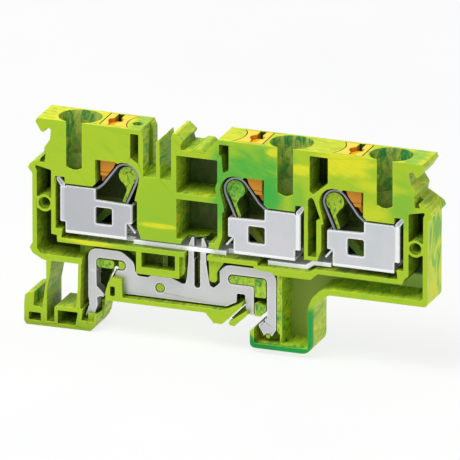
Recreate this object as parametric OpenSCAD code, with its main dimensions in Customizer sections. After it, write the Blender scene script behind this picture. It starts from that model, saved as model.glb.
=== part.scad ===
// Three-conductor rail-mounted terminal block with push-in spring clamps, open on one side.
// X runs along the block, Y through its thickness with the open face at -Y, Z up from the rail.
// The origin is the middle of the rail, on the plane that the block rests on.

/* [Block] */
// Thickness of the block, which is its pitch on the rail
pitch = 8.2; // [7.8:0.1:9]
// Thickness of the wall that closes the back
back_wall = 1.2; // [1:0.1:1.6]
// Height of the top face over the rail
top_z = 36.1; // [35.8:0.1:37]
// X of the plane about which the two ends are mirror images
mid_x = 10.35; // [10.2:0.05:10.5]

/* [Clamps] */
// Distance from the rail's middle to the two inner clamps' loops
loop_x = 11.5; // [11.4:0.05:11.7]
// Distance from the middle clamp to the right clamp
clamp_pitch = 20.55; // [20.4:0.05:20.7]
// Radius of the conductor funnel's straight part
funnel_r = 3.9; // [3.4:0.05:3.95]
// Radius of the hole that a conductor leaves the funnel by
conductor_r = 2.3; // [1.8:0.05:2.5]
// Thickness of the clamping spring's strip
leaf = 0.4; // [0.3:0.05:0.5]
// Thickness of the cage's sheet
sheet = 0.6; // [0.5:0.05:0.8]

/* [Metal] */
// Thickness of the stamped rail contact
plate_t = 2.3; // [2:0.1:2.5]
// Thickness of the current bars
bar_t = 0.95; // [0.8:0.05:1]

/* [Hidden] */
$fn = 48;
eps = 0.05;
front = -pitch / 2;
back = pitch / 2;
floor_y = back - back_wall;
// The metal plate stands behind the open face by this much
plate_inset = 1.35;
plate_y0 = front + plate_inset;
plate_y1 = plate_y0 + plate_t;
seat_y = plate_y1 + 0.02;
// Centre of the conductor funnel, across the thickness and along the block
funnel_y = front + 3.65;
funnel_x = loop_x + 10.45;
green = [0.62, 0.8, 0.2];
steel = [0.78, 0.8, 0.8];
spring_steel = [0.56, 0.58, 0.64];
orange = [0.9, 0.6, 0.15];

// ---- outlines ----

function unit(v) = v / norm(v);

// Points of one corner: the corner itself, or an arc of radius r that touches both sides
function corner(a, p, b) =
  let (r = is_undef(p[2]) ? 0 : p[2])
  let (q = [p[0], p[1]])
  r == 0 ? [q] :
  let (u = unit([a[0], a[1]] - q))
  let (w = unit([b[0], b[1]] - q))
  let (half = acos(max(-1, min(1, u * w))) / 2)
  let (centre = q + unit(u + w) * r / sin(half))
  let (t0 = q + u * r / tan(half) - centre)
  let (t1 = q + w * r / tan(half) - centre)
  let (a0 = atan2(t0[1], t0[0]))
  let (turn = (atan2(t1[1], t1[0]) - a0 + 540) % 360 - 180)
  let (steps = max(2, ceil(abs(turn) / 18)))
  [for (i = [0 : steps]) centre + r * [cos(a0 + turn * i / steps), sin(a0 + turn * i / steps)]];

// An outline whose points are [x, z] or [x, z, corner radius]
function rounded(pts) =
  let (n = len(pts))
  [for (i = [0 : n - 1]) each corner(pts[(i + n - 1) % n], pts[i], pts[(i + 1) % n])];

function box2(x0, z0, x1, z1, r = 0) = [[x0, z0, r], [x1, z0, r], [x1, z1, r], [x0, z1, r]];

// The point at an angle on a circle
function polar(c, r, a) = c + r * [cos(a), sin(a)];

// A sheet between two planes of Y, from an outline drawn in X and Z
module slab(y0, y1) {
  translate([0, y1, 0]) rotate([90, 0, 0]) linear_extrude(y1 - y0) children();
}

module plate(pts, y0, y1) {
  slab(y0, y1) polygon(rounded(pts));
}

// A cut from in front of the open face down to a plane of Y
module pocket(pts, to = floor_y) {
  plate(pts, front - eps, to);
}

// ---- housing ----

// Left end from the top face round to the underside, with the marker hook and the wing
left_end = [
  [-28.5, 6.8, 0.6], [-30.75, 8.0, 1.2], [-31.3, 9.2, 0.7], [-30.7, 10.1, 0.3], [-30.7, 24.5, 0.2],
  [-31.6, 25.6, 0.4], [-31.2, 26.5, 0.5], [-29.0, 27.9], [-27.85, 28.5, 0.2], [-28.2, 30.1, 0.6],
  [-27.0, 31.9, 0.8], [-26.75, 34.1, 0.5], [-27.6, 34.3, 0.3], [-28.3, 33.2, 0.25], [-28.9, 33.5, 0.3],
  [-30.0, 35.3, 0.3], [-29.65, top_z, 0.1]];

function mirrored(pts) = [for (i = [len(pts) - 1 : -1 : 0]) [2 * mid_x - pts[i][0], pts[i][1], pts[i][2]]];

right_end = concat(
  [for (p = mirrored(left_end)) if (p[1] > 11) p],
  [[51.4, 6.8, 0.8], [31.0, 6.8, 1.5]]);

// The top between the two blocks: the left block's end, two ribs and the middle marker hook
crown = [
  [-8.15, top_z, 0.2], [-7.55, 34.7], [-7.55, 26.6], [-4.85, 26.6], [-4.85, 34.0, 0.1],
  [-4.3, 34.6, 0.1], [-4.15, 34.0], [-4.05, 26.5], [-1.75, 26.5], [-1.7, 35.6],
  [-1.45, 36.2, 0.2], [-0.75, 36.3, 0.2], [0.75, 34.9, 0.3], [0.15, 33.9, 0.1], [0.35, 33.05],
  [2.3, 33.1, 0.8], [3.0, 33.7, 0.6], [4.4, 33.7, 0.6], [5.2, 33.0], [7.95, top_z, 0.1]];

// Underside from the right foot to the left: the foot, the keel and the beam on the rail
base_right = [
  [28.3, 5.0, 1.5], [27.6, 3.2, 1.5], [27.6, -6.0, 2.2], [14.6, -6.0, 1.0], [14.6, -2.6, 0.4],
  [15.35, -2.0, 0.2], [17.65, -1.7], [17.65, 1.4], [16.35, 0.0], [14.3, 0.0], [13.75, 2.2],
  [13.0, 2.2], [9.25, -1.55, 0.4], [8.75, -1.95, 0.4], [7.05, -1.95, 0.3], [5.35, 0.0, 0.4],
  [-15.5, 0.0, 0.3], [-15.45, 1.8], [-14.95, 3.6, 0.5], [-14.45, 4.6, 0.1]];

// Left edge of the fixed back: along the slit beside the latch, then up to the underside
base_left = [[-16.35, 4.6, 0.2], [-16.75, 2.9, 0.1], [-20.25, 2.9, 0.1], [-20.25, 6.8]];

module body_outline() {
  polygon(rounded(concat(left_end, crown, right_end, base_right, base_left)));
}

// The chamber of the middle clamp; the other two are copies of it
chamber = [
  [8.05, 11.85], [8.05, 13.6], [8.85, 16.0], [8.85, 21.2], [9.35, 21.4],
  each [for (a = [200 : -20 : 60]) polar([loop_x, 25.85], 3.1, a)],
  [13.4, 28.9], [17.55, 28.9], [17.5, 23.9, 0.3], [18.2, 23.2], [23.9, 23.2], [23.95, 24.5],
  [25.85, 24.5], [25.85, 13.7], [24.4, 13.7], [24.65, 11.85]];

// Runs its children in the place of each clamp: 0 left (mirrored), 1 middle, 2 right
module at_clamp(i) {
  if (i == 0) mirror([1, 0, 0]) children();
  if (i > 0) translate([(i - 1) * clamp_pitch, 0, 0]) children();
}

// A straight entry, then a cone down to the conductor's size, open to the chamber
module funnel() {
  cone_z = 27.2;
  neck_z = 24.6;
  mouth_z = 33;
  mouth_shift = 0.45;
  translate([funnel_x, funnel_y, 0]) {
    translate([0, 0, cone_z]) cylinder(h = top_z - cone_z + 1, r = funnel_r, $fn = 72);
    translate([0, 0, neck_z]) cylinder(h = cone_z - neck_z + eps, r1 = conductor_r, r2 = funnel_r, $fn = 72);
    translate([0, 0, 22]) cylinder(h = neck_z - 22 + eps, r = conductor_r, $fn = 72);
    // mouth, widened along the block towards the top face
    for (s = [-1, 1]) translate([s * mouth_shift, mouth_shift / 3, mouth_z])
      cylinder(h = top_z - mouth_z + eps, r1 = funnel_r - mouth_shift, r2 = funnel_r, $fn = 72);
  }
  // The round entry is wider than the block's front wall, so it shows as a slot there
  slot = 1.62;
  plate([[funnel_x - slot, 26.7], [funnel_x, 25.9, 2.4], [funnel_x + slot, 26.7],
         [funnel_x + slot, top_z + 1], [funnel_x - slot, top_z + 1]], front - eps, front + 1);
}

// The opening that a button slides in, wider at the head than at the stem
button_x0 = 11.1;
button_x1 = 17.0;
head_z = 30.3;
// Centre of the round boss that the button's inner end is hollowed for
boss = [button_x0 - 4.8, front + 4.3];
boss_r = 5.78;
module button_way() {
  y0 = front + 0.85;
  y1 = front + 7.6;
  clear = 0.06;
  difference() {
    translate([button_x0 - clear, y0 - clear, head_z])
      cube([button_x1 - button_x0 + 2 * clear, y1 - y0 + 2 * clear, top_z - head_z + 1]);
    translate([boss[0], boss[1], head_z - 1]) cylinder(h = top_z - head_z + 3, r = boss_r, $fn = 64);
  }
  translate([13.3, y0 - clear, 28.5]) cube([17.0 - 13.3, y1 - y0 + clear, head_z - 28.5 + eps]);
}

// The post that the spring's loop hangs on, with its tail along the fixed leg
module post() {
  y0 = front + 1.35;
  translate([loop_x - 0.3, floor_y + eps, 25.85]) rotate([90, 0, 0])
    cylinder(h = floor_y + eps - y0, r = 1.9);
  plate([[9.75, 25.2], [12.2, 24.35, 0.2], [11.4, 23.0, 0.6], [12.4, 20.3, 0.2], [11.75, 20.2, 0.1]],
        y0, floor_y + eps);
}

// Two slanting ribs on the back wall behind the cage's window, each over a sunk corner
window_ribs = [11.9, 16.75];

module window_rib(x) {
  plate([[x - 0.5, 16.1], [x - 0.5, 17.6, 0.2], [x + 0.6, 17.4, 0.4], [x + 3.6, 13.6, 0.1],
         [x + 2.2, 13.6, 0.1]], floor_y - 0.8, floor_y + eps);
}

module window_sink(x) {
  pocket([[x - 0.6, 13.3], [x - 0.6, 16.1], [x + 2.5, 13.3]], floor_y + 0.6);
}

// Pockets that save material, blind to the back wall
function end_pockets() = [
  [[-30.3, 26.35, 0.3], [-26.75, 25.6, 0.3], [-26.75, 19.85, 0.1], [-29.75, 19.85, 0.1], [-29.75, 25.2, 0.3]],
  [[-29.75, 17.35, 0.1], [-26.75, 17.35, 0.1], [-26.75, 12.4, 0.1], [-25.6, 12.3, 0.1], [-25.5, 10.9, 0.1],
   [-22.1, 10.9], [-22.1, 8.05], [-29.0, 8.05, 0.5], [-29.75, 9.0, 0.5]]];

mid_pockets = [
  [[-10.25, 35.1, 0.15], [-8.55, 35.1, 0.15], [-8.55, 29.0, 0.1], [-10.25, 30.1, 0.1]],
  [[-0.65, 31.8, 0.2], [7.85, 31.8, 0.2], [7.85, 27.4, 0.3], [7.35, 25.9, 1.5], [7.9, 24.1, 0.2],
  [-0.65, 24.1, 0.1]], [[-0.65, 22.85, 0.2], [7.9, 22.85, 0.2], [7.9, 16.0, 0.5], [7.1, 14.6],
  [-0.65, 14.6, 0.1]], [[8.2, 35.15, 0.15], [10.2, 35.15, 0.15], [10.2, 29.9, 0.1], [9.0, 29.3, 0.2],
  [8.7, 32.7, 0.1], [8.2, 33.0, 0.1]], [[27.0, 35.1, 0.2], [30.75, 35.1, 0.15], [30.75, 29.8, 0.2],
  [27.7, 27.2, 0.2], [27.0, 27.8, 0.3]], [[26.65, 14.35, 0.1], [26.65, 25.9, 0.7], [27.3, 26.9, 0.5],
   [27.95, 25.9, 0.4], [29.2, 22.3, 0.1], [28.4, 22.0, 0.1], [28.4, 14.35, 0.1]]];

// One long hollow under the right clamps, down the right end and inside the right foot
right_hollow = [
  [50.4, 17.35, 0.1], [47.45, 17.35, 0.1], [47.45, 12.8, 0.2], [46.6, 12.1, 0.2], [46.1, 10.9, 0.2],
  [28.65, 10.9, 0.3], [27.2, 9.5, 0.6], [20.85, 9.5, 0.2], [20.85, -4.95, 0.2], [26.65, -4.95, 1.4],
  [26.65, 3.6, 1.2], [27.4, 5.6, 1.2], [29.2, 7.6, 1.2], [31.3, 8.05, 0.5], [50.4, 8.05, 0.5]];

// The space that the rail contact lies in, in front of its seat
contact_space = [
  [-22.2, 10.9], [-22.2, 8.05], [-20.35, 8.05], [-20.35, 5.9], [-19.6, 5.9], [-19.6, -2], [-12.2, -2],
  [-12.2, 0.95], [9.4, 0.95],
  [11.8, 2.2], [13.05, 3.13], [13.05, -1], [17.6, -1.0], [15.5, -1.9], [15.5, -4.95, 0.3], [20.4, -4.95],
  [20.4, -3.2], [19.75, -2.4], [19.75, 9.6], [19.2, 10.0, 0.5], [15.4, 10.3], [15.35, 10.9]];

// Strip that the bars lie in, over the floor walls and under the middle block
bar_channel = [
  [-11.5, 11.9], [5.5, 11.9], [16.2, 11.9], [16.2, 11.1], [26.8, 11.1], [28.4, 12.0], [30.6, 12.0],
  [30.6, 13.6], [27.2, 13.6], [25.85, 13.6], [25.85, 13.8], [24.3, 13.8], [24.3, 13.3], [9.0, 13.3],
  [6.15, 13.6], [6.15, 15.0], [0.6, 13.6], [-8.05, 13.6], [-11.5, 13.3]];

// Walls that stand up to the open face again inside the contact's space
module contact_walls() {
  difference() {
    plate(box2(-9.05, 6.35, -0.05, 11.9, 0.15), front, floor_y + eps);
    pocket([[-7.95, 7.8, 0.2], [-0.95, 7.8, 0.2], [-0.95, 11.3], [-7.95, 11.3]]);
  }
  plate(box2(-4.25, 7.7, -3.3, 11.4), front + 2.2, floor_y + eps);
  plate([[-0.3, 6.6, 0.3], [0.5, 6.9, 0.6], [0.85, 8.2, 0.6], [0.75, 11.0], [-0.3, 11.0]],
        front + 0.8, floor_y + eps);
  plate([[5.7, 10.95], [5.95, 6.2, 0.7], [7.5, 6.2, 0.7], [7.45, 8.4, 0.8], [9.2, 10.95]],
        front + 0.8, floor_y + eps);
  // wedge that ends the beam on the left
  difference() {
    union() {
      plate([[-15.5, 0.0, 0.3], [-15.45, 1.8], [-14.95, 3.6, 0.5], [-14.2, 4.8, 0.3], [-12.1, 4.7, 0.2],
             [-11.85, 0.5], [-11.5, 0.0]], front, plate_y0 - 0.02);
      plate([[-15.5, 0.0, 0.3], [-15.45, 1.8], [-14.95, 3.6, 0.5], [-14.5, 4.38, 0.1], [-12.2, 4.38, 0.1],
             [-12.2, 0.0]], front + 1, floor_y + eps);
    }
    pocket(box2(-14.5, 1.0, -13.5, 3.0, 0.3), front + 4);
  }
}

// Lugs that fill the contact's slots, flush with its face
module contact_lugs() {
  y0 = plate_y0 + 0.15;
  plate(box2(-17.75, 6.1, -14.2, 7.85, 0.6), y0, floor_y + eps);
  plate([[-13.2, 6.15], [-11.9, 6.15, 0.7], [-11.9, 7.85, 0.7], [-13.2, 7.85]], y0, floor_y + eps);
  plate([[9.75, 6.2, 0.7], [14.95, 6.2, 0.2], [15.1, 3.95, 0.2], [17.45, 3.95, 0.3], [17.45, 7.85, 0.6],
         [9.75, 7.85, 0.7]], y0, floor_y + eps);
  translate([-4.55, floor_y, 3.48]) rotate([90, 0, 0]) cylinder(h = floor_y - y0, r = 0.86);
  plate([[15.1, 0.05], [16.3, 0.05], [17.45, 1.3], [17.45, 2.3], [15.6, 2.9], [15.1, 2.7]],
        y0 - 0.05, seat_y + eps);
  // boss that the contact's right end is notched round
  translate([17.9, floor_y, -3.75]) rotate([90, 0, 0]) cylinder(h = floor_y - y0, r = 0.5);
}

// Springy finger under the beam, joined to the back of the housing at its upper end only
module finger() {
  step_y = front + 2.2;
  plate([[10.05, -1.45, 0.3], [10.6, -2.0, 0.5], [11.4, -2.05, 0.3], [14.25, 0.75, 0.1], [13.8, 1.35, 0.1]],
        front, plate_y0 - 0.02);
  plate([[10.05, -1.45, 0.3], [10.6, -2.0, 0.5], [11.4, -2.05, 0.3], [13.4, -0.1], [12.8, 0.7]],
        plate_y0 - 0.1, back);
  plate([[10.0, -1.2, 0.1], [10.9, -1.5], [12.8, -0.3], [13.15, 0.0], [13.0, 1.5]], step_y, back);
  plate([[12.0, 0.6], [13.0, -0.5], [16.0, 2.2], [14.4, 3.4]], seat_y, back);
}

// Stepped hole that takes the neighbouring block's pin, and the boss that it's in
pin_hole_r = 0.95;
pin_at = [-28.15, 18.6];
module end_boss() {
  translate([pin_at[0], floor_y + eps, pin_at[1]]) rotate([90, 0, 0])
    cylinder(h = floor_y + eps - front, r = 1.72);
}

module end_hole() {
  x = pin_at[0];
  z = pin_at[1];
  translate([x, front - eps, z]) rotate([-90, 0, 0]) cylinder(h = 0.9 + eps, r = 1.25);
  translate([x, front - eps, z]) rotate([-90, 0, 0]) cylinder(h = 6.2, r = pin_hole_r);
}

module at_both_ends() {
  children();
  translate([2 * mid_x, 0, 0]) mirror([1, 0, 0]) children();
}

module housing() color(green) {
  difference() {
    union() {
      difference() {
        slab(front, back) body_outline();
        pocket(contact_space, seat_y);
        for (p = mid_pockets) pocket(p);
        for (p = end_pockets()) pocket(p);
        pocket(right_hollow);
        translate([2 * mid_x, 0, 0]) mirror([1, 0, 0]) pocket(end_pockets()[0]);
        for (i = [0 : 2]) at_clamp(i) pocket(chamber);
        for (i = [0 : 2], x = window_ribs) at_clamp(i) window_sink(x);
        pocket(bar_channel, front + 6.2);
        // the wall beside the contact's right leg stands no higher than the contact
        pocket(box2(19.7, -4.9, 20.95, 9.5), plate_y0);
        // way for the contact's two prongs, up to their staked tips
        pocket([[1.0, 10], [5.75, 10], [5.75, 13.3], [6.15, 14.0], [6.15, 15], [0.9, 15], [0.05, 13.3],
                [1.0, 13.3]],
               seat_y);
        // deep slots beside the contact's short leg
        pocket([[15.05, 2.6], [17.6, 2.2], [17.6, 3.9], [15.05, 3.9]]);
        pocket([[11.5, 2.4], [13.05, 3.3], [13.05, 4.2], [11.5, 4.2]]);
        // recess of the end face for the jumper
        translate([-7.55 - 0.6, front + 3.2, 27.2]) cube([1, 2.5, 12]);
        // deep part beside the latch's leg
        pocket([[-20.35, 6.0], [-14.0, 6.0], [-14.4, 4.6], [-14.9, 3.6], [-15.55, 1.8], [-15.55, -1],
                [-20.35, -1]]);
        plate(box2(-19.35, 2.8, -19.0, 5.0), front, back + eps);
      }
      for (i = [0 : 2]) at_clamp(i) post();
      for (i = [0 : 2], x = window_ribs) at_clamp(i) window_rib(x);
      at_both_ends() end_boss();
      contact_walls();
      contact_lugs();
      finger();
    }
    for (i = [0 : 2]) at_clamp(i) funnel();
    for (i = [0 : 2]) at_clamp(i) button_way();
    at_both_ends() end_hole();
    // corner slot between the end's wing and the block above it
    at_both_ends() pocket([[-29.1, 27.1], [-28.1, 27.0], [-27.95, 29.0], [-28.5, 29.0]], front + 3);
    // test point in the left block's top face
    translate([-9.95, front + 3.6, top_z - 1.05]) cylinder(h = 2, r = 1.05);
  }
}

// ---- latch ----

foot_top = -2.45;
root_z = 6.8;

// Two thin legs that bend like leaves and carry the snap foot
module latch_flexure() color(green) {
  plate([[-27.85, root_z], [-27.85, 3.0], [-28.25, 0.0], [-28.6, foot_top], [-27.7, foot_top],
         [-27.7, 0.5], [-27.05, 4.0], [-26.75, root_z]], front, back);
  plate([[-21.15, root_z], [-21.25, 2.0], [-21.65, foot_top], [-20.7, foot_top], [-20.75, 0],
         [-20.55, 4.0], [-20.5, root_z]], front, back);
}

module latch_foot() color(green) {
  difference() {
    union() {
      plate([[-32.35, -0.95, 0.3], [-31.5, -0.3, 0.3], [-30.4, -0.15, 0.1], [-30.5, -2.95, 0.1],
             [-28.65, -3.2], [-28.6, foot_top], [-27.7, foot_top], [-27.7, -5.85, 0.1],
             [-26.15, -5.85, 0.1], [-26.15, foot_top, 0.5], [-20.2, foot_top], [-20.5, -4.85],
             [-19.35, -4.85], [-19.35, -3.35], [-17.3, -3.35], [-17.55, -5.5, 0.2], [-18.55, -6.85, 0.4],
             [-32.0, -7.0, 0.5], [-32.5, -6.3, 0.3], [-32.5, -3.0]], front, back);
      // back of the leg's channel, up behind the leg
      plate([[-20.4, -4.9], [-17.3, -4.9], [-16.9, -3.1], [-16.9, -1.25, 0.1], [-17.6, -1.25, 0.2],
             [-17.6, 0.6, 0.5], [-17.0, 2.75, 0.1], [-19.6, 2.75, 0.1], [-20.35, 0.2]], floor_y, back);
      // hook that catches under the rail
      plate([[-17.6, -4.9], [-17.3, -4.9], [-16.9, -3.1], [-16.9, -1.25, 0.15], [-17.6, -1.25]],
            seat_y, back);
    }
    pocket([[-31.5, -4.35, 0.2], [-29.0, -4.35, 0.2], [-29.0, -6.0, 0.1], [-31.5, -6.0, 0.1]], front + 5);
    pocket([[-25.45, -3.35, 0.1], [-21.25, -3.3, 0.2], [-21.75, -6.1, 0.1], [-25.45, -6.1, 0.1]], front + 6);
    // the stub in front of the leg's end is set back from the foot's rim
    pocket([[-19.35, -4.9, 0.1], [-19.35, -3.2], [-17.75, -3.2], [-17.95, -4.9, 0.1]], front + 0.7);
    // channel of the contact's leg, behind the stub
    plate([[-20.55, -4.85], [-17.6, -4.85], [-17.6, -3.3], [-17.0, -3.3], [-17.0, -1.0],
           [-20.1, foot_top + eps], [-20.2, foot_top]], front + 1.3, seat_y);
    plate([[-20.5, -4.85], [-17.6, -4.85], [-17.6, 0], [-20.1, 0]], seat_y - eps, floor_y);
    // slit behind the leg
    plate([[-19.4, -4.8], [-19.05, -4.8], [-19.05, -3.8], [-19.4, -3.8]], floor_y - eps, back + eps);
  }
}

// ---- rail contact ----

leg_cut_z = 5.4;
// The prongs stand either side of this X, and end under the current bar
prong_x = 3.2;
bar_z = 11.92;
tip_y0 = plate_y0 + 0.35;
tip_y1 = plate_y0 + 1.55;
tip_z = 14.7;

module contact_outline() {
  difference() {
    polygon(rounded([
      [-19.55, leg_cut_z], [-19.55, 10.03, 1.9], [-12.6, 10.03, 2.6], [-9.9, 8.0, 2], [-9.75, 6.3],
      [-9.2, 5.38, 0.6], [-7.0, 5.38, 0.3], [-6.5, 5.83], [-2.2, 5.83], [0.0, 4.9, 0.5], [0.75, 4.95, 0.5],
      [1.05, 6.5], [1.35, 10.5], [1.35, bar_z], [2.5, bar_z], [2.5, 10.2], [3.85, 10.2], [3.85, bar_z],
      [5.05, bar_z], [5.05, 10.0], [5.35, 8.0], [5.8, 5.3], [6.5, 4.7, 0.6], [7.9, 6.1, 0.5], [7.8, 8.5],
      [9.2, 9.98, 2.2], [19.6, 9.98, 2.2], [19.6, -2.3], [18.8, -3.6, 0.2], [17.0, -3.6, 0.2],
      [15.95, -1.9], [16.05, -1.5, 0.1], [17.7, 0.1], [17.7, 8.13, 0.9], [9.6, 8.13, 0.95],
      [9.6, 6.1, 0.95], [14.95, 6.1, 0.4], [14.95, 0.2, 0.2], [14.1, 0.2, 0.2], [13.25, 1.6],
      [13.15, 4.3, 0.4], [11.4, 4.3, 0.4], [11.4, 2.5], [9.3, 1.33, 0.8], [-12.1, 1.33, 0.2],
      [-12.1, 4.48, 0.1], [-14.05, 4.48, 0.2], [-13.75, 6.03, 0.4], [-11.7, 6.03, 0.95],
      [-11.7, 8.13, 0.95], [-17.85, 8.13, 0.8], [-17.85, leg_cut_z]]));
    polygon(rounded(box2(2.6, 4.43, 3.8, 10.6, 0.55)));
    translate([-4.55, 3.48]) circle(r = 1.0);
    translate([17.9, -3.75]) circle(r = 0.6);
    translate([17.05, -0.78]) circle(r = 0.3);
  }
}

// Stamped plate that joins the current bar to the rail
module rail_contact() color(steel) {
  slab(plate_y0, plate_y1) contact_outline();
  // staked tips that come through the bar
  for (s = [-1, 1])
    plate([[prong_x + s * 0.72, bar_z - 0.5], [prong_x + s * 1.82, bar_z - 0.5],
           [prong_x + s * 1.82, bar_z + 1.3], [prong_x + s * 1.25, tip_z, 0.15],
           [prong_x + s * 0.78, tip_z, 0.15]], tip_y0, tip_y1);
}

// The plate's springy leg, whose end sits in the snap foot
module rail_contact_leg() color(steel) {
  plate([[-19.55, leg_cut_z], [-19.55, -0.2], [-19.35, -1.1], [-19.35, -1.8], [-20.05, -3.9],
         [-20.05, -4.6, 0.1], [-19.7, -3.8, 0.1], [-18.25, -3.75, 0.1], [-17.6, -1.6], [-17.75, -0.1],
         [-17.0, 0.2], [-16.4, 0.1, 0.1], [-16.3, 0.7, 0.2], [-17.0, 1.5], [-17.8, 2.2],
         [-17.85, leg_cut_z]], plate_y0, plate_y1);
}

// ---- current bars ----

bar_y1 = front + 6.0;

module current_bar() color(steel) {
  difference() {
    union() {
      plate(box2(-10.05, bar_z, 9.25, bar_z + bar_t, 0.1), plate_y0, bar_y1);
      plate(box2(-21.5, bar_z, 15.6, bar_z + bar_t, 0.1), front + 2.9, front + 5.1);
    }
    for (s = [-1, 1])
      translate([prong_x + s * 1.27 - 0.58, tip_y0 - 0.03, bar_z - 1])
        cube([1.16, tip_y1 - tip_y0 + 0.06, 3]);
  }
}

module link_bar() color(steel) {
  plate([[17.9, 11.12, 0.1], [26.1, 11.12, 0.5], [27.5, 12.15, 0.5], [31.0, 12.15], [31.0, 13.05],
         [27.1, 13.05, 0.5], [25.7, 12.02, 0.5], [17.9, 12.02, 0.1]], plate_y0, bar_y1);
  plate(box2(30.9, 12.15, 36.3, 12.15 + 0.9, 0.1), front + 2.9, front + 5.1);
}

// ---- clamps, drawn for the middle one ----

cage_y0 = front + 0.3;
cage_y1 = front + 6.6;

cage_side = [
  [11.15, 13.15], [11.15, 16.3, 0.1], [10.1, 16.3, 0.1], [10.1, 20.2, 0.15], [17.6, 20.45],
  [17.6, 22.75, 0.1], [23.7, 22.75, 0.1], [23.9, 22.4, 0.1], [24.85, 22.4, 0.1], [24.85, 15.2, 0.1],
  [23.85, 15.2, 0.1], [23.85, 13.15]];

cage_window = box2(14.15, 15.5, 17.6, 19.0, 0.35);

// Folded sheet box: a side sheet with a window, bent round at the bottom and at both ends
module cage(i) color(steel) at_clamp(i) {
  difference() {
    plate(cage_side, cage_y0, cage_y0 + sheet);
    plate(cage_window, cage_y0 - eps, cage_y0 + sheet + eps);
  }
  difference() {
    union() {
      plate(box2(11.15, 12.9, 23.85, 12.9 + sheet, 0.1), cage_y0 + 0.1, cage_y1 - 0.1);
      plate(box2(24.35, 15.3, 25.0, 22.3, 0.1), cage_y0 + 0.1, cage_y1 - 0.1);
      plate(box2(9.95, 16.4, 9.95 + sheet, 20.1, 0.1), cage_y0 + 0.1, cage_y1 - 0.1);
    }
    // the bar goes in through the foot of the cage
    translate([9, front + 2.8, 12]) cube([7, 2.4, 2.5]);
  }
  // end of the bottom, bent up inside
  plate([[11.6, 16.6], [11.3, 16.9], [9.35, 14.5], [9.6, 14.2]], cage_y0 + 0.5, cage_y1 - 0.5);
  // lead-in for the conductor
  plate([[24.0, 22.3], [24.85, 22.3], [25.75, 23.7, 0.3], [25.75, 24.3, 0.1], [25.2, 24.35, 0.1],
         [24.0, 23.0, 0.3]], cage_y0 + 0.15, cage_y1 - 0.5);
}

spring_y0 = front + 0.95;
spring_y1 = front + 5.95;

// Bent strip: fixed leg, loop, and the clamping leg that ends in a tongue inside the cage
module spring(i) color(spring_steel) at_clamp(i) {
  c = [loop_x, 25.85];
  r = 2.65;
  outer = [
    [12.42, 17.1], each [for (a = [202 : -14 : 34]) polar(c, r, a)],
    [16.35, 23.75, 1.2], [17.35, 22.95, 0.8], [18.7, 22.6, 0.8], [22.6, 16.2]];
  inner = [
    [22.25, 16.0], [18.4, 22.15, 0.6], [17.2, 22.5, 1.0], [16.0, 23.55, 1.4],
    each [for (a = [34 : 14 : 202]) polar(c, r - leaf, a)], [12.83, 17.27]];
  plate(concat(outer, inner), spring_y0, spring_y1);
}

button_y0 = front + 0.85;
button_y1 = front + 7.6;

// Release button: head flush with the top, and a stem that ends on the spring
module button(i) color(orange) at_clamp(i) {
  head_y0 = button_y0;
  head_bottom = head_z + 2.2;
  stem_y0 = button_y0 + 0.15;
  step_z = 25.4;
  difference() {
    translate([button_x0, head_y0, head_bottom])
      cube([button_x1 - 0.15 - button_x0, button_y1 - head_y0, top_z - head_bottom]);
    // hollow inner end, round the housing's boss
    translate([boss[0], boss[1], head_z]) cylinder(h = 10, r = boss_r + 0.17, $fn = 64);
    // recess for a screwdriver: a slot with a wider middle, and a notch at the back
    translate([0, 0, top_z - 1.0]) linear_extrude(2)
      polygon([[14.1, -2.95], [15.45, -2.95], [15.45, -1.9], [16.15, -0.4], [16.15, 0.6], [15.4, 1.1],
               [15.4, 2.4], [14.1, 2.4], [14.1, 1.6], [13.25, 0.7], [13.25, -0.4], [14.1, -1.7]]);
    translate([14.1, 2.0, top_z - 2.4]) cube([1.3, 4, 4]);
  }
  plate([[13.6, head_bottom + eps], [13.6, 28.6], [14.05, 27.35], [15.52, step_z], [16.8, step_z, 0.25],
         [16.85, 28.0], [16.85, head_bottom + eps]], stem_y0, stem_y0 + 1);
  plate([[13.6, head_bottom + eps], [13.6, 28.6], [14.05, 27.35], [15.25, 25.75], [16.4, 24.15, 0.1],
         [16.8, 23.85, 0.1], [16.85, 26.0], [16.85, head_bottom + eps]], stem_y0 + 0.8, button_y1 - 1.0);
}

housing();
latch_flexure();
latch_foot();
rail_contact();
rail_contact_leg();
current_bar();
link_bar();
cage(0);  // cage_left
cage(1);  // cage_middle
cage(2);  // cage_right
spring(0);  // spring_left
spring(1);  // spring_middle
spring(2);  // spring_right
button(0);  // button_left
button(1);  // button_middle
button(2);  // button_right
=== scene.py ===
import math

import bmesh
import bpy
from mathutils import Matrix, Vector


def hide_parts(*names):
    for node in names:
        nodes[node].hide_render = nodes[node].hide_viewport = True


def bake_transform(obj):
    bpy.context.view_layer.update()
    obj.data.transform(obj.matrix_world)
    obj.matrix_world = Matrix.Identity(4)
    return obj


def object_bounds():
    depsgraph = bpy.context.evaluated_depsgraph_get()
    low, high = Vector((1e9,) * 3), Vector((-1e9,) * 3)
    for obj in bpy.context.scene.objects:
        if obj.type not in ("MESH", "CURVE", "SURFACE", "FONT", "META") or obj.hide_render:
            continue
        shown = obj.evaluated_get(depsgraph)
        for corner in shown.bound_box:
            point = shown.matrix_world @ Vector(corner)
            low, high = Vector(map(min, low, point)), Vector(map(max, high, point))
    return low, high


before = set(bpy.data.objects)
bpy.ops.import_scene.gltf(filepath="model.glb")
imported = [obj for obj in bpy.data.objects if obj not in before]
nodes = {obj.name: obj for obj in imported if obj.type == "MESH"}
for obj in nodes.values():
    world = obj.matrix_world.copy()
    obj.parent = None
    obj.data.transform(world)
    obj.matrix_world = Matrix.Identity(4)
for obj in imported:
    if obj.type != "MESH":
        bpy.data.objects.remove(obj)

MM = 0.001
cad_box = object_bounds()
scene = bpy.context.scene

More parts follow.
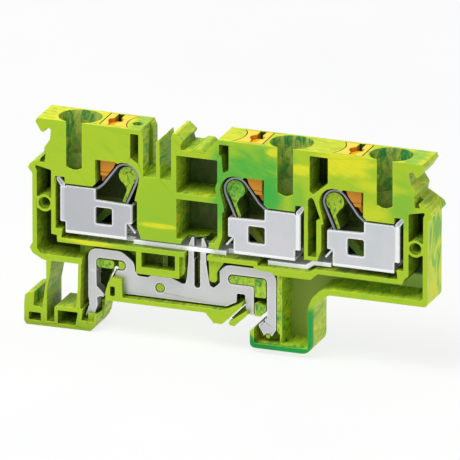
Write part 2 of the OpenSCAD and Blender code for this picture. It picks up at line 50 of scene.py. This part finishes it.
# Places are in millimetres: X along the block, Y from the open front to the back, Z up from the rail
FRONT, BACK = (round(corner[1] / MM, 3) for corner in cad_box)
# Halfway between the two end walls
MID_X = 10.35
# Distance from the middle clamp to the right clamp
CLAMP_PITCH = 20.55
# Planes of Y between which the stamped contact and the clamping springs lie
CONTACT_Y = (-2.75, -0.45)
SPRING_Y = (-3.15, 1.85)


def at_clamps(x):
    """The same place in the left clamp, which is mirrored, in the middle clamp and in the right clamp."""
    return -x, x, x + CLAMP_PITCH


# ---- material building ----


class Shader:
    """A material whose nodes are built by short calls."""

    def __init__(self, name):
        self.mat = bpy.data.materials.new(name)
        self.mat.use_nodes = True
        self.tree = self.mat.node_tree
        self.bsdf = self.tree.nodes["Principled BSDF"]
        self.at = self.place()
        self.x, self.y, self.z = self.node("ShaderNodeSeparateXYZ", {0: self.at}).outputs

    def node(self, kind, ins=(), **props):
        n = self.tree.nodes.new(kind)
        for k, v in props.items():
            setattr(n, k, v)
        for k, v in dict(ins).items():
            self.set(n.inputs[k], v)
        return n

    def set(self, socket, v):
        if isinstance(v, bpy.types.NodeSocket):
            self.tree.links.new(v, socket)
        else:
            socket.default_value = v

    def math(self, op, a, b=0.0):
        return self.node("ShaderNodeMath", {0: a, 1: b}, operation=op).outputs[0]

    def vec(self, op, a, b=(0, 0, 0)):
        n = self.node("ShaderNodeVectorMath", {0: a, 1: b}, operation=op)
        return n.outputs["Value" if op in ("LENGTH", "DOT_PRODUCT") else "Vector"]

    def map(self, v, a, b, c=0.0, d=1.0, kind="SMOOTHSTEP"):
        """c where v is under a, d where it is over b, and a blend between them."""
        ends = {"Value": v, "From Min": a, "From Max": b, "To Min": c, "To Max": d}
        return self.node("ShaderNodeMapRange", ends, interpolation_type=kind).outputs["Result"]

    def below(self, v, a, b):
        """1 where v is under a, fading to 0 at b."""
        return self.map(v, a, b, 1.0, 0.0)

    def near(self, v, centre, inner, outer):
        """1 within the inner distance of a centre, fading to 0 at the outer one."""
        return self.below(self.size(self.math("SUBTRACT", v, centre)), inner, outer)

    def size(self, v):
        return self.math("ABSOLUTE", v)

    def both(self, first, *others):
        """Masks multiplied together."""
        for mask in others:
            first = self.math("MULTIPLY", first, mask)
        return first

    def most(self, first, *others):
        """The strongest of some masks."""
        for mask in others:
            first = self.math("MAXIMUM", first, mask)
        return first

    def in_clamps(self, x, inner, outer):
        """1 near the same place in each of the three clamps."""
        return self.most(*(self.near(self.x, centre, inner, outer) for centre in at_clamps(x)))

    def mix(self, f, a, b):
        n = self.node("ShaderNodeMix", data_type="RGBA", blend_type="MIX")
        self.set(n.inputs[0], f)
        self.set(n.inputs[6], a)
        self.set(n.inputs[7], b)
        return n.outputs[2]

    def noise(self, v, scale, detail=3.0, rough=0.5, distort=0.0):
        ins = {"Vector": v, "Scale": scale, "Detail": detail, "Roughness": rough, "Distortion": distort}
        return self.node("ShaderNodeTexNoise", ins).outputs["Fac"]

    def ramp(self, f, stops):
        n = self.node("ShaderNodeValToRGB", {"Fac": f})
        e = n.color_ramp.elements
        while len(e) < len(stops):
            e.new(0.5)
        for k, (at, colour) in zip(e, stops):
            k.position = at
            k.color = colour
        return n.outputs["Color"]

    def place(self, scale=(1, 1, 1), turn=(0, 0, 0)):
        """Object position in millimetres, turned and then scaled along each axis."""
        at = self.node("ShaderNodeTexCoord").outputs["Object"]
        if any(turn):
            r = [math.radians(a) for a in turn]
            at = self.node("ShaderNodeMapping", {"Vector": at, "Rotation": r}).outputs["Vector"]
        scale = [s / MM for s in scale]
        return self.node("ShaderNodeMapping", {"Vector": at, "Scale": scale}).outputs["Vector"]

    def normal(self):
        """The surface's own direction, as X, Y and Z sockets."""
        g = self.node("ShaderNodeNewGeometry").outputs["True Normal"]
        return self.node("ShaderNodeSeparateXYZ", {0: g}).outputs

    def edge(self, radius, lo=0.02, hi=0.25):
        """1 along sharp edges, fading over the radius in millimetres."""
        soft = self.node("ShaderNodeBevel", {"Radius": radius * MM}, samples=6).outputs[0]
        hard = self.node("ShaderNodeNewGeometry").outputs["True Normal"]
        dot = self.vec("DOT_PRODUCT", soft, hard)
        return self.map(self.math("SUBTRACT", 1.0, dot), lo, hi)

    def openness(self, reach):
        """1 on open surfaces, towards 0 in corners and hollows within reach in millimetres."""
        return self.node("ShaderNodeAmbientOcclusion", {"Distance": reach * MM}, samples=8).outputs["AO"]

    def finish(self, colour, roughness, grain, strength, depth):
        """Sets the colour, the roughness and a fine bump, and returns the material."""
        self.set(self.bsdf.inputs["Base Color"], colour)
        self.set(self.bsdf.inputs["Roughness"], roughness)
        n = self.node("ShaderNodeBump", {"Height": grain, "Strength": strength, "Distance": depth * MM})
        self.tree.links.new(n.outputs[0], self.bsdf.inputs["Normal"])
        return self.mat


def linear(c):
    return c / 3294.6 if c <= 10.31 else ((c / 255 + 0.055) / 1.055) ** 2.4


def rgb(r, g, b):
    """A display colour of 0 to 255 as linear light."""
    return (linear(r), linear(g), linear(b), 1.0)


# ---- marbled plastic ----

LIME = rgb(162, 194, 33)
LEAF = rgb(76, 172, 54)
PINE = rgb(10, 104, 58)
# Olive painted shade for hollows and pits
HOLLOW_SHADE = rgb(34, 46, 14)
# Reflection of the plastics, lower than the default so that the colours stay full
PLASTIC_SHINE = 0.25

# Patches of colour on the open face: X and Z of the middle, and the two radii
FAINT_GREEN = [(20.9, 33.4, 3.0, 2.2), (24.6, 25.5, 1.8, 3.5), (46.2, 27.5, 2.5, 5.0)]
YELLOW = [(25.2, 32.0, 3.0, 1.0), (20.0, 34.9, 1.6, 0.9), (-4.0, 16.8, 4.0, 0.5), (-19.0, 11.6, 5.0, 0.6),
          (9.5, 17.5, 0.5, 2.6)]
FAINT_YELLOW = [(41.5, 30.3, 5.5, 1.2), (38.5, 24.5, 4.0, 2.0)]


class Marble(Shader):
    """Green and yellow marbled polyamide: clouds on the open face, streaks along the depth elsewhere."""

    def __init__(self, name):
        super().__init__(name)
        x, y, z = self.x, self.y, self.z
        self.facing = self.normal()
        self.wobble = self.math(
            "SUBTRACT", self.noise(self.place((0.14, 0.12, 0.34), (0, -10, 0)), 1.0, 5, 0.62, 0.8), 0.5)
        self.blotch = self.noise(self.place((0.5, 0.2, 0.35)), 1.0, 4.0, 0.65, 0.5)
        self.speckle = self.noise(self.place((1.5, 1.5, 1.1)), 1.0, 4.0, 0.7, 0.4)
        # everything but the outer back
        self.inside = self.below(y, 3.6, 3.9)
        # faces that look to the front or to the back
        self.across = self.map(self.size(self.facing[1]), 0.55, 0.85)
        # seats, posts and lugs, which lie half-way in
        self.half_way = self.both(self.map(y, -3.6, -2.7), self.below(y, 0.8, 2.2))
        # the long hollow under the right clamps and in the right foot
        self.hollow = self.both(self.map(x, 19.5, 20.5), self.below(z, 10.5, 11.5))
        # the back wall seen through the cages' windows
        self.window = self.both(self.in_clamps(16.0, 4.8, 5.2), self.map(z, 12.9, 13.2),
                                self.below(z, 18.6, 19.2))
        self.posts = self.both(self.in_clamps(11.2, 1.95, 2.05), self.inside, self.map(z, 20, 20.3),
                               self.below(z, 27.9, 28.1))
        self.funnels = self.both(self.in_clamps(21.95, 4.2, 4.6), self.inside, self.map(z, 22, 23))

    def cloud(self, cx, cz, rx, rz, soft=0.45, ragged=1.9):
        """An ellipse in X and Z with a soft and ragged outline."""
        from_middle = self.vec("MULTIPLY", self.vec("SUBTRACT", self.at, (cx, 0, cz)), (1 / rx, 0, 1 / rz))
        d = self.math("ADD", self.vec("LENGTH", from_middle), self.both(self.wobble, ragged))
        return self.below(d, 1 - soft, 1 + soft)

    def clouds(self, patches, strength):
        return self.both(self.most(*(self.cloud(*patch) for patch in patches)), strength)

    def open_face(self, green):
        """Lime with the green clouds that are given and with yellow ones."""
        fine = self.noise(self.place((0.3, 0.4, 2.2), (0, -28, 0)), 1.0, 4, 0.65, 0.3)
        yellow = self.most(self.cloud(34.5, 34.2, 6.0, 2.4, 0.4), self.clouds(YELLOW, 1.0),
                           self.clouds(FAINT_YELLOW, 0.5))
        c = self.mix(self.map(fine, 0.3, 0.75, 0.0, 0.3), LIME, rgb(186, 208, 34))
        c = self.mix(self.cloud(-2.0, 18.0, 9.0, 9.0, 0.5, 0.8), c, rgb(150, 190, 32))
        c = self.mix(self.map(self.wobble, 0.02, 0.26, 0.0, 0.55), c, rgb(130, 190, 44))
        c = self.mix(self.both(green, self.map(fine, 0.25, 0.7, 0.72, 1.0)), c, LEAF)
        c = self.mix(self.both(self.cloud(18.8, 25.8, 2.4, 3.6, 0.5, 1.0), 0.8), c, rgb(46, 168, 62))
        return self.mix(self.both(yellow, self.map(fine, 0.2, 0.7, 0.6, 1.0)), c, rgb(220, 220, 30))

    def lug_face(self):
        streak = self.noise(self.place((0.9, 0.9, 0.5)), 1.0, 5.0, 0.68, 1.2)
        return self.ramp(streak, [(0.32, PINE), (0.41, rgb(70, 150, 60)), (0.48, rgb(150, 194, 50)),
                                  (0.6, rgb(196, 212, 60))])

    def deep_floor(self):
        """Floors deep inside: olive painted shade, painted light that makes the long hollow and the rib
        behind the windows lighter, and painted black shadow at the windows' back.
        """
        c = self.mix(self.map(self.blotch, 0.4, 0.68), rgb(82, 96, 30), rgb(92, 130, 44))
        lit = self.mix(self.map(self.x, 28, 42), rgb(170, 190, 82), rgb(214, 255, 128))
        c = self.mix(self.both(self.hollow, 0.9), c, lit)
        rib = self.mix(self.map(self.blotch, 0.42, 0.6), rgb(168, 190, 84), rgb(110, 184, 96))
        c = self.mix(self.window, c, self.mix(self.below(self.y, 2.3, 2.6), rgb(112, 126, 52), rib))
        # painted black shadow at the back behind the windows
        return self.mix(self.both(self.window, self.map(self.y, 3.1, 3.4)), c, rgb(6, 7, 6))

    def front(self, green):
        """Every face that looks to the front, from the open face to the deep floors."""
        streaky = self.both(self.half_way, self.map(self.posts, 0.0, 1.0, 0.8, 0.15))
        c = self.mix(streaky, self.open_face(green), self.lug_face())
        # painted shade on the deep floors
        deep = self.both(self.map(self.y, 1.2, 2.7), self.below(self.facing[1], -0.85, -0.55))
        return self.mix(deep, c, self.deep_floor())

    def end_wall(self):
        """Broad upright smears and a painted highlight along the front edge."""
        smear = self.noise(self.place((0.2, 0.42, 0.16), (8, 0, 0)), 1.0, 2.5, 0.55, 0.5)
        c = self.ramp(smear, [(0.4, rgb(44, 178, 64)), (0.46, rgb(130, 210, 46)), (0.51, rgb(206, 236, 46)),
                              (0.62, rgb(238, 240, 44))])
        return self.mix(self.map(self.y, -3.4, -2.4, 0.7, 0.0), c, rgb(232, 240, 96))

    def side(self, air):
        """Faces that look along or up the block, painted lighter where they are open."""
        streak = self.noise(self.place((0.9, 0.22, 0.7)), 1.0, 6.0, 0.62, 1.6)
        c = self.ramp(streak, [(0.28, rgb(16, 118, 62)), (0.37, rgb(84, 166, 60)), (0.46, rgb(160, 198, 46)),
                               (0.56, rgb(182, 208, 48)), (0.66, rgb(228, 224, 56))])
        from_mid = self.size(self.math("SUBTRACT", self.x, MID_X))
        ends = self.both(self.map(self.size(self.facing[0]), 0.75, 0.9), self.map(from_mid, 40.3, 40.7))
        c = self.mix(ends, c, self.end_wall())
        # painted light where the faces are open
        c = self.mix(self.map(air, 0.75, 0.95, 0.0, 0.3), c, rgb(226, 234, 64))
        mottled = self.mix(self.map(self.blotch, 0.45, 0.6), rgb(84, 108, 36), rgb(26, 88, 44))
        return self.mix(self.both(self.posts, 0.75), c, mottled)

    def top(self):
        """Lemon painted light on the faces that look up, with marbled pale streaks and two greener patches.
        """
        pale = self.noise(self.place((0.35, 0.9, 0.3), (0, 0, 18)), 1.0, 4.0, 0.6, 0.6)
        c = self.mix(self.map(self.x, -6, 24), rgb(228, 230, 52), rgb(206, 218, 48))
        c = self.mix(self.map(pale, 0.5, 0.66, 0.0, 0.8), c, rgb(150, 200, 56))
        c = self.mix(self.map(pale, 0.3, 0.46, 0.8, 0.0), c, rgb(240, 234, 70))
        c = self.mix(self.both(self.cloud(-9.3, 36.1, 1.7, 2.0), 0.55), c, rgb(104, 184, 70))
        return self.mix(self.both(self.cloud(47.5, 36.1, 1.6, 2.0), 0.55), c, rgb(104, 190, 70))

    def funnel_wall(self):
        """Green streaks that run down, over an olive and speckled lower part."""
        drip = self.noise(self.place((0.62, 0.5, 0.3)), 1.0, 5.0, 0.7, 0.7)
        c = self.ramp(drip, [(0.4, rgb(14, 134, 70)), (0.46, rgb(96, 158, 70)), (0.52, rgb(152, 176, 70)),
                             (0.6, rgb(192, 206, 84))])
        low = self.ramp(self.speckle, [(0.4, rgb(48, 136, 66)), (0.47, rgb(124, 146, 66)),
                                       (0.56, rgb(146, 154, 70))])
        return self.mix(self.map(self.z, 26, 31, 0.8, 0.0), c, low)

    def speckle_posts(self, c):
        on_post = self.both(self.posts, self.across)
        c = self.mix(self.both(on_post, self.map(self.speckle, 0.35, 0.5, 0.5, 0.0)), c, rgb(178, 206, 52))
        dots = self.both(on_post, self.map(self.speckle, 0.53, 0.58, 0.0, 0.85))
        return self.mix(dots, c, rgb(20, 112, 60))

    def foot_rim(self):
        """The right foot's rounded outline on the open face, which gets painted green shade."""
        slope = self.math("ADD", self.z, self.both(self.x, 1.1))
        outline = self.most(self.below(self.z, -5.1, -4.7),
                            self.both(self.map(self.x, 26.4, 26.8), self.below(self.z, 2.5, 4.5)),
                            self.below(slope, 12.6, 13.4))
        return self.both(outline, self.map(self.x, 13.4, 14.2), self.below(self.y, -3.6, -3.2))

    def shade(self, air):
        """How much painted shade hollows get: funnels, the crown's ribs, the long hollow and the windows
        stay lighter.
        """
        x, y, z = self.x, self.y, self.z
        crown = self.both(self.map(x, -8.4, -7.8), self.below(x, -1.6, -1.2), self.map(z, 25, 26))
        spared = self.most(self.hollow, crown, self.funnels, self.both(self.window, self.map(y, 1.5, 1.9)))
        dark = self.map(air, 0.1, 0.8, 0.85, 0.0, "LINEAR")
        return self.both(dark, self.map(self.half_way, 0.0, 1.0, 1.0, 0.45),
                         self.map(spared, 0.0, 1.0, 1.0, 0.12))

    def build(self):
        x, y, z = self.x, self.y, self.z
        air = self.openness(7)
        green = self.most(self.cloud(15.0, 28.5, 7.0, 6.5, 0.5), self.cloud(9.0, 27.0, 2.5, 9.0, 0.5, 1.2),
                          self.clouds(FAINT_GREEN, 0.55))
        c = self.speckle_posts(self.mix(self.across, self.side(air), self.front(green)))
        # painted black shadow in the chambers' lower corners beyond the cages
        corners = self.both(self.in_clamps(24.8, 1.0, 1.15), self.map(z, 13.65, 13.75),
                            self.below(z, 15.2, 15.4), self.inside, self.map(y, -3.0, -2.6))
        c = self.mix(self.both(corners, 0.93), c, rgb(10, 13, 6))
        # painted light: faces that look up near the top get the lemon top
        c = self.mix(self.both(self.map(self.facing[2], 0.75, 0.9), self.map(z, 35.0, 35.8)), c, self.top())
        # painted green shade on the right foot's rounded outline
        c = self.mix(self.foot_rim(), c, rgb(14, 152, 62))
        in_funnel = self.both(self.funnels, self.map(y, -3.6, -3.2), self.below(self.facing[2], 0.6, 0.8))
        c = self.mix(self.both(in_funnel, 0.88), c, self.funnel_wall())
        # painted shade in hollows
        c = self.mix(self.shade(air), c, HOLLOW_SHADE)
        # painted shade makes the small box under the current bar a dark pit
        pit_shade = self.both(self.near(x, -4.45, 3.5, 3.6), self.near(z, 9.55, 1.75, 1.85), self.inside,
                        self.map(y, -3.9, -2.4))
        c = self.mix(self.both(pit_shade, 0.6), c, HOLLOW_SHADE)
        # painted highlight: edges catch the light, most of all near the open face
        lip = self.mix(green, rgb(196, 236, 40), rgb(96, 206, 66))
        c = self.mix(self.both(self.edge(0.28), self.map(y, -3.0, 2.5, 0.8, 0.12)), c, lip)
        self.bsdf.inputs["Specular IOR Level"].default_value = PLASTIC_SHINE
        grain = self.noise(self.at, 7.0, 3.0, 0.6)
        return self.finish(c, self.map(grain, 0.2, 0.8, 0.42, 0.56, "LINEAR"), grain, 0.12, 0.03)


# ---- metal and button plastic ----

# Colour of the painted highlights along metal edges
WHITE_HIGHLIGHT = rgb(254, 254, 255)


def metal(name, dark, light, highlight_colour, radius, metallic=0.55, fold_z=None, side_shade=None, crevice_shade=0.8,
          glow=0.0):
    """Tinned or bare sheet metal: rolled grain, faint stain clouds, painted shade on the sides and in
    crevices, and painted highlights along the edges.
    """
    s = Shader(name)
    grain = s.noise(s.place((0.3, 1.2, 2.6)), 3.0, 4.0, 0.6)
    stain = s.noise(s.place((0.16, 0.3, 0.22)), 1.0, 3.0, 0.55, 0.5)
    c = s.mix(s.map(stain, 0.35, 0.65), dark, light)
    c = s.mix(s.map(grain, 0.3, 0.7, 0.0, 0.12), c, rgb(236, 236, 240))
    if fold_z:
        c = cage_marks(s, c, fold_z, highlight_colour)
    # painted shade on the faces that do not look to the front or back
    if side_shade:
        c = s.mix(s.map(s.size(s.normal()[1]), 0.4, 0.7, 0.85, 0.0), c, side_shade)
    # painted shade in crevices
    if crevice_shade:
        c = s.mix(s.map(s.openness(3), 0.1, 0.62, crevice_shade, 0.0, "LINEAR"), c, rgb(44, 46, 44))
    # painted highlights along the edges
    bright = s.both(s.edge(radius, 0.015, 0.14), 0.95)
    c = s.mix(bright, c, highlight_colour)
    s.set(s.bsdf.inputs["Metallic"], s.map(bright, 0.0, 1.0, metallic, 0.0, "LINEAR"))
    # painted light: a faint glow
    if glow:
        s.set(s.bsdf.inputs["Emission Color"], c)
        s.bsdf.inputs["Emission Strength"].default_value = glow
    return s.finish(c, s.map(grain, 0.25, 0.75, 0.34, 0.5, "LINEAR"), grain, 0.1, 0.02)


def cage_marks(s, c, fold_z, highlight_colour):
    """A painted highlight along the fold at the bottom, grey lead-in tabs at the top, and painted highlights
    where the bent ends catch the light.
    """
    c = s.mix(s.map(s.x, -14, 4, 0.45, 0.0), c, rgb(158, 158, 166))
    # painted highlight along the bottom fold
    c = s.mix(s.map(s.z, fold_z, fold_z + 0.3, 0.9, 0.0), c, highlight_colour)
    c = s.mix(s.map(s.z, 22.7, 23.0, 0.0, 0.6), c, rgb(140, 142, 146))
    for bend, shine in zip(at_clamps(24.5), (0.2, 0.7, 0.7)):
        glint = s.both(s.near(s.x, bend, 0.25, 0.6), shine, s.below(s.z, 22.3, 22.6))
        c = s.mix(glint, c, highlight_colour)
    return c


def button_plastic(name):
    """Orange polyamide: painted light that makes the head pale and the recess bright, a darker stem, painted
    shade in hollows and painted highlights on the edges.
    """
    s = Shader(name)
    y, z = s.y, s.z
    speck = s.noise(s.at, 1.6, 4.0, 0.6)
    c = s.mix(s.map(speck, 0.35, 0.7, 0.0, 0.5), rgb(196, 130, 30), rgb(208, 144, 40))
    up = s.map(s.normal()[2], 0.5, 0.9)
    upright = s.below(up, 0.0, 1.0)
    # painted light: faces that look up get bright yellows, paler on the head than in the recess
    c = s.mix(up, c, s.mix(s.map(z, 35.2, 35.9), rgb(255, 190, 14), rgb(255, 222, 80)))
    stem = s.below(z, 32.3, 32.6)
    c = s.mix(s.both(stem, 0.6), c, rgb(212, 142, 40))
    # painted shadow along the step across the stem
    c = s.mix(s.both(s.near(z, 26.2, 0.06, 0.14), 0.75), c, rgb(110, 62, 12))
    # painted light on the recess's walls, which are lit too
    c = s.mix(s.both(s.map(z, 34.9, 35.1), upright, 0.9), c, rgb(240, 170, 48))
    # painted shade in hollows, weaker on the stem
    dark = s.map(s.openness(3), 0.1, 0.75, 0.7, 0.0, "LINEAR")
    c = s.mix(s.both(dark, upright, s.map(stem, 0.0, 1.0, 1.0, 0.3)), c, rgb(112, 66, 16))
    # the notch behind the recess shows green
    notch = s.both(s.map(y, 2.35, 2.45), s.below(y, 3.45, 3.5), s.map(z, 33.5, 33.7), s.below(z, 35.9, 36.0))
    c = s.mix(notch, c, rgb(150, 186, 50))
    # painted highlights on the edges
    c = s.mix(s.both(s.edge(0.16), 0.4), c, rgb(246, 196, 84))
    s.bsdf.inputs["Specular IOR Level"].default_value = PLASTIC_SHINE
    return s.finish(c, s.map(speck, 0.3, 0.7, 0.46, 0.6, "LINEAR"), speck, 0.1, 0.03)


plastic = Marble("marbled_polyamide").build()
plate_metal = metal("tinned_copper", rgb(200, 200, 200), rgb(204, 205, 206), WHITE_HIGHLIGHT, 0.5,
                    side_shade=rgb(92, 94, 84))
# the bars glow faintly, painted light that keeps them bright in their shaded channel
bar_metal = metal("tinned_bar", rgb(240, 244, 246), rgb(244, 246, 248), WHITE_HIGHLIGHT, 0.3, 0.1,
                  side_shade=rgb(150, 154, 152), crevice_shade=0, glow=0.14)
cage_metal = metal("tinned_sheet", rgb(196, 204, 205), rgb(206, 205, 210), WHITE_HIGHLIGHT, 0.8, fold_z=13.4)
strip_metal = metal("spring_strip", rgb(128, 132, 142), rgb(142, 146, 156), rgb(190, 194, 204), 0.1, 0.75)
orange = button_plastic("orange_plastic")

# ---- the CAD nodes: materials and small rounded edges ----

# Material and width of the rounded edges, by the start of the node's name (the first that fits)
DRESS = {"housing": (plastic, 0.07), "latch_flexure": (plastic, 0), "latch_foot": (plastic, 0.07),
         "rail_contact_leg": (plate_metal, 0), "rail_contact": (plate_metal, 0.08),
         "current_bar": (bar_metal, 0.1), "link_bar": (bar_metal, 0.1), "cage": (cage_metal, 0.06),
         "spring": (strip_metal, 0), "button": (orange, 0.08)}


def soften(o, width):
    """Small rounded edges on a piece, without touching its mesh."""
    w = o.modifiers.new("weld", "WELD")
    w.merge_threshold = 2e-6
    b = o.modifiers.new("edges", "BEVEL")
    b.width = width * MM
    b.segments = 2
    b.limit_method = "ANGLE"
    b.angle_limit = math.radians(40)
    b.use_clamp_overlap = False
    b.miter_outer = "MITER_ARC"


for name, o in nodes.items():
    mat, width = next(dress for start, dress in DRESS.items() if name.startswith(start))
    o.data.materials.clear()
    o.data.materials.append(mat)
    if width:
        soften(o, width)

# ---- pieces drawn from outlines ----


def outline_piece(name, outlines, depths, step=0.5):
    """A sheet between two planes of Y from closed outlines in X and Z, with points at most a step apart."""
    bm = bmesh.new()
    for pts in outlines:
        fine = []
        for a, b in zip(pts, pts[1:] + pts[:1]):
            n = max(1, math.ceil(math.dist(a, b) / step))
            fine += [(a[0] + (b[0] - a[0]) * k / n, a[1] + (b[1] - a[1]) * k / n) for k in range(n)]
        rings = [[bm.verts.new((x * MM, y * MM, z * MM)) for x, z in fine] for y in depths]
        bm.faces.new(rings[0])
        bm.faces.new(rings[1])
        for i in range(len(fine)):
            j = (i + 1) % len(fine)
            bm.faces.new((rings[0][i], rings[0][j], rings[1][j], rings[1][i]))
    bmesh.ops.recalc_face_normals(bm, faces=bm.faces)
    mesh = bpy.data.meshes.new(name)
    bm.to_mesh(mesh)
    bm.free()
    o = bpy.data.objects.new(name, mesh)
    scene.collection.objects.link(o)
    return o


def arc(c, r, a0, a1, n):
    angles = [math.radians(a0 + (a1 - a0) * k / n) for k in range(n + 1)]
    return [(c[0] + r * math.cos(a), c[1] + r * math.sin(a)) for a in angles]


def rounded(pts):
    """Closed outline whose points are (x, z) or (x, z, corner radius)."""
    steps = 5
    out = []
    for i, p in enumerate(pts):
        q = Vector(p[:2])
        if len(p) < 3:
            out.append((q.x, q.y))
            continue
        r = p[2]
        u = (Vector(pts[i - 1][:2]) - q).normalized()
        w = (Vector(pts[(i + 1) % len(pts)][:2]) - q).normalized()
        half = math.acos(max(-1, min(1, u.dot(w)))) / 2
        c = q + (u + w).normalized() * r / math.sin(half)
        t0, t1 = (q + side * r / math.tan(half) - c for side in (u, w))
        a0 = math.degrees(math.atan2(t0.y, t0.x))
        turn = (math.degrees(math.atan2(t1.y, t1.x)) - a0 + 540) % 360 - 180
        out += arc(c, r, a0, a0 + turn, steps)
    return out


def finish_piece(o, mat, width, node):
    o.data.materials.append(mat)
    soften(o, width)
    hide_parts(node)
    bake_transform(o)


# Z of the foot's top, where the latch's legs end
FOOT_TOP = -2.45

legs = outline_piece("latch_legs", [
    rounded([(-27.85, 6.8), (-27.85, 3.0), (-28.25, 0.0), (-28.6, FOOT_TOP), (-27.7, FOOT_TOP), (-27.7, 0.5),
             (-27.05, 4.0), (-26.75, 6.8)]),
    rounded([(-21.15, 6.8), (-21.25, 2.0), (-21.65, FOOT_TOP), (-20.7, FOOT_TOP), (-20.75, 0.0),
             (-20.55, 4.0), (-20.5, 6.8)])], (FRONT, BACK))
finish_piece(legs, plastic, 0.07, "latch_flexure")

leg = outline_piece("contact_spring_leg", [rounded([
    (-19.55, 5.4), (-19.55, -0.2), (-19.35, -1.1), (-19.35, -1.8), (-20.05, -3.9), (-20.05, -4.6, 0.1),
    (-19.7, -3.8, 0.1), (-18.25, -3.75, 0.1), (-17.6, -1.6), (-17.75, -0.1), (-17.0, 0.2), (-16.4, 0.1, 0.1),
    (-16.3, 0.7, 0.2), (-17.0, 1.5), (-17.8, 2.2), (-17.85, 5.4)])], CONTACT_Y)
finish_piece(leg, plate_metal, 0.08, "rail_contact_leg")

# The clamping spring's strip round its loop, drawn for the middle clamp
LOOP, OUTER_R, LEAF_T = (11.5, 25.85), 2.65, 0.4
STRIP = rounded(
    [(12.42, 17.1)] + arc(LOOP, OUTER_R, 202, 34, 18)
    + [(16.35, 23.75, 1.2), (17.35, 22.95, 0.8), (18.7, 22.6, 0.8), (22.6, 16.2), (22.25, 16.0),
       (18.4, 22.15, 0.6), (17.2, 22.5, 1.0), (16.0, 23.55, 1.4)]
    + arc(LOOP, OUTER_R - LEAF_T, 34, 202, 18) + [(12.83, 17.27)])
for i, side in enumerate(("left", "middle", "right")):
    o = outline_piece("clamp_spring_" + side, [[(at_clamps(x)[i], z) for x, z in STRIP]], SPRING_Y, 0.3)
    finish_piece(o, strip_metal, 0.05, "spring_" + side)

# ---- floor, light and camera ----

FLOOR_HALF = 3.0
low = cad_box[0][2]
corners = [(i * FLOOR_HALF, j * FLOOR_HALF, low) for i, j in ((-1, -1), (1, -1), (1, 1), (-1, 1))]
floor_mesh = bpy.data.meshes.new("floor")
floor_mesh.from_pydata(corners, [], [(0, 1, 2, 3)])
floor = bpy.data.objects.new("floor", floor_mesh)
scene.collection.objects.link(floor)
fs = Shader("floor_paper")
paper = fs.noise(fs.place((0.02, 0.02, 0.02)), 1.0, 3.0)
fs.set(fs.bsdf.inputs["Base Color"], fs.mix(fs.map(paper, 0.3, 0.7), rgb(118, 119, 119), rgb(122, 123, 122)))
fs.bsdf.inputs["Roughness"].default_value = 0.9
fs.bsdf.inputs["Specular IOR Level"].default_value = 0.0
fs.bsdf.inputs["Emission Color"].default_value = (1, 1, 1, 1)
fs.bsdf.inputs["Emission Strength"].default_value = 0.78
floor_mesh.materials.append(fs.mat)

world = bpy.data.worlds.new("studio")
scene.world = world
world.use_nodes = True
sky = world.node_tree.nodes["Background"]
sky.inputs["Color"].default_value = (1, 1, 1, 1)
sky.inputs["Strength"].default_value = 0.5


def softbox(name, at, towards, size, watts):
    lamp = bpy.data.lights.new(name, "AREA")
    lamp.shape = "SQUARE"
    lamp.size = size
    lamp.energy = watts
    o = bpy.data.objects.new(name, lamp)
    o.location = at
    o.rotation_euler = (Vector(towards) - Vector(at)).to_track_quat("-Z", "Y").to_euler()
    scene.collection.objects.link(o)


# The middle of the view lies on the open face
centre = Vector((10.52 * MM, FRONT * MM, 17.81 * MM))
softbox("top", (-0.15, -0.25, 0.7), centre, 0.5, 4.0)
softbox("front_left", (-0.5, -0.7, 0.35), centre, 0.5, 1.0)

AZIMUTH, ELEVATION = math.radians(20.3), math.radians(19.7)
# A long lens, and the width of the view at the block
LENS, SENSOR, FRAME_MM = 1500.0, 36.0, 89.58
cam = bpy.data.cameras.new("camera")
cam.lens = LENS
cam.sensor_width = SENSOR
cam.clip_start = 0.1
cam.clip_end = 20.0
camera = bpy.data.objects.new("camera", cam)
level = math.cos(ELEVATION)
out = Vector((math.sin(AZIMUTH) * level, -math.cos(AZIMUTH) * level, math.sin(ELEVATION)))
camera.location = centre + out * (FRAME_MM * MM / 2) * LENS / (SENSOR / 2)
camera.rotation_euler = (-out).to_track_quat("-Z", "Y").to_euler()
scene.collection.objects.link(camera)
scene.camera = camera
scene.view_settings.view_transform = "Standard"
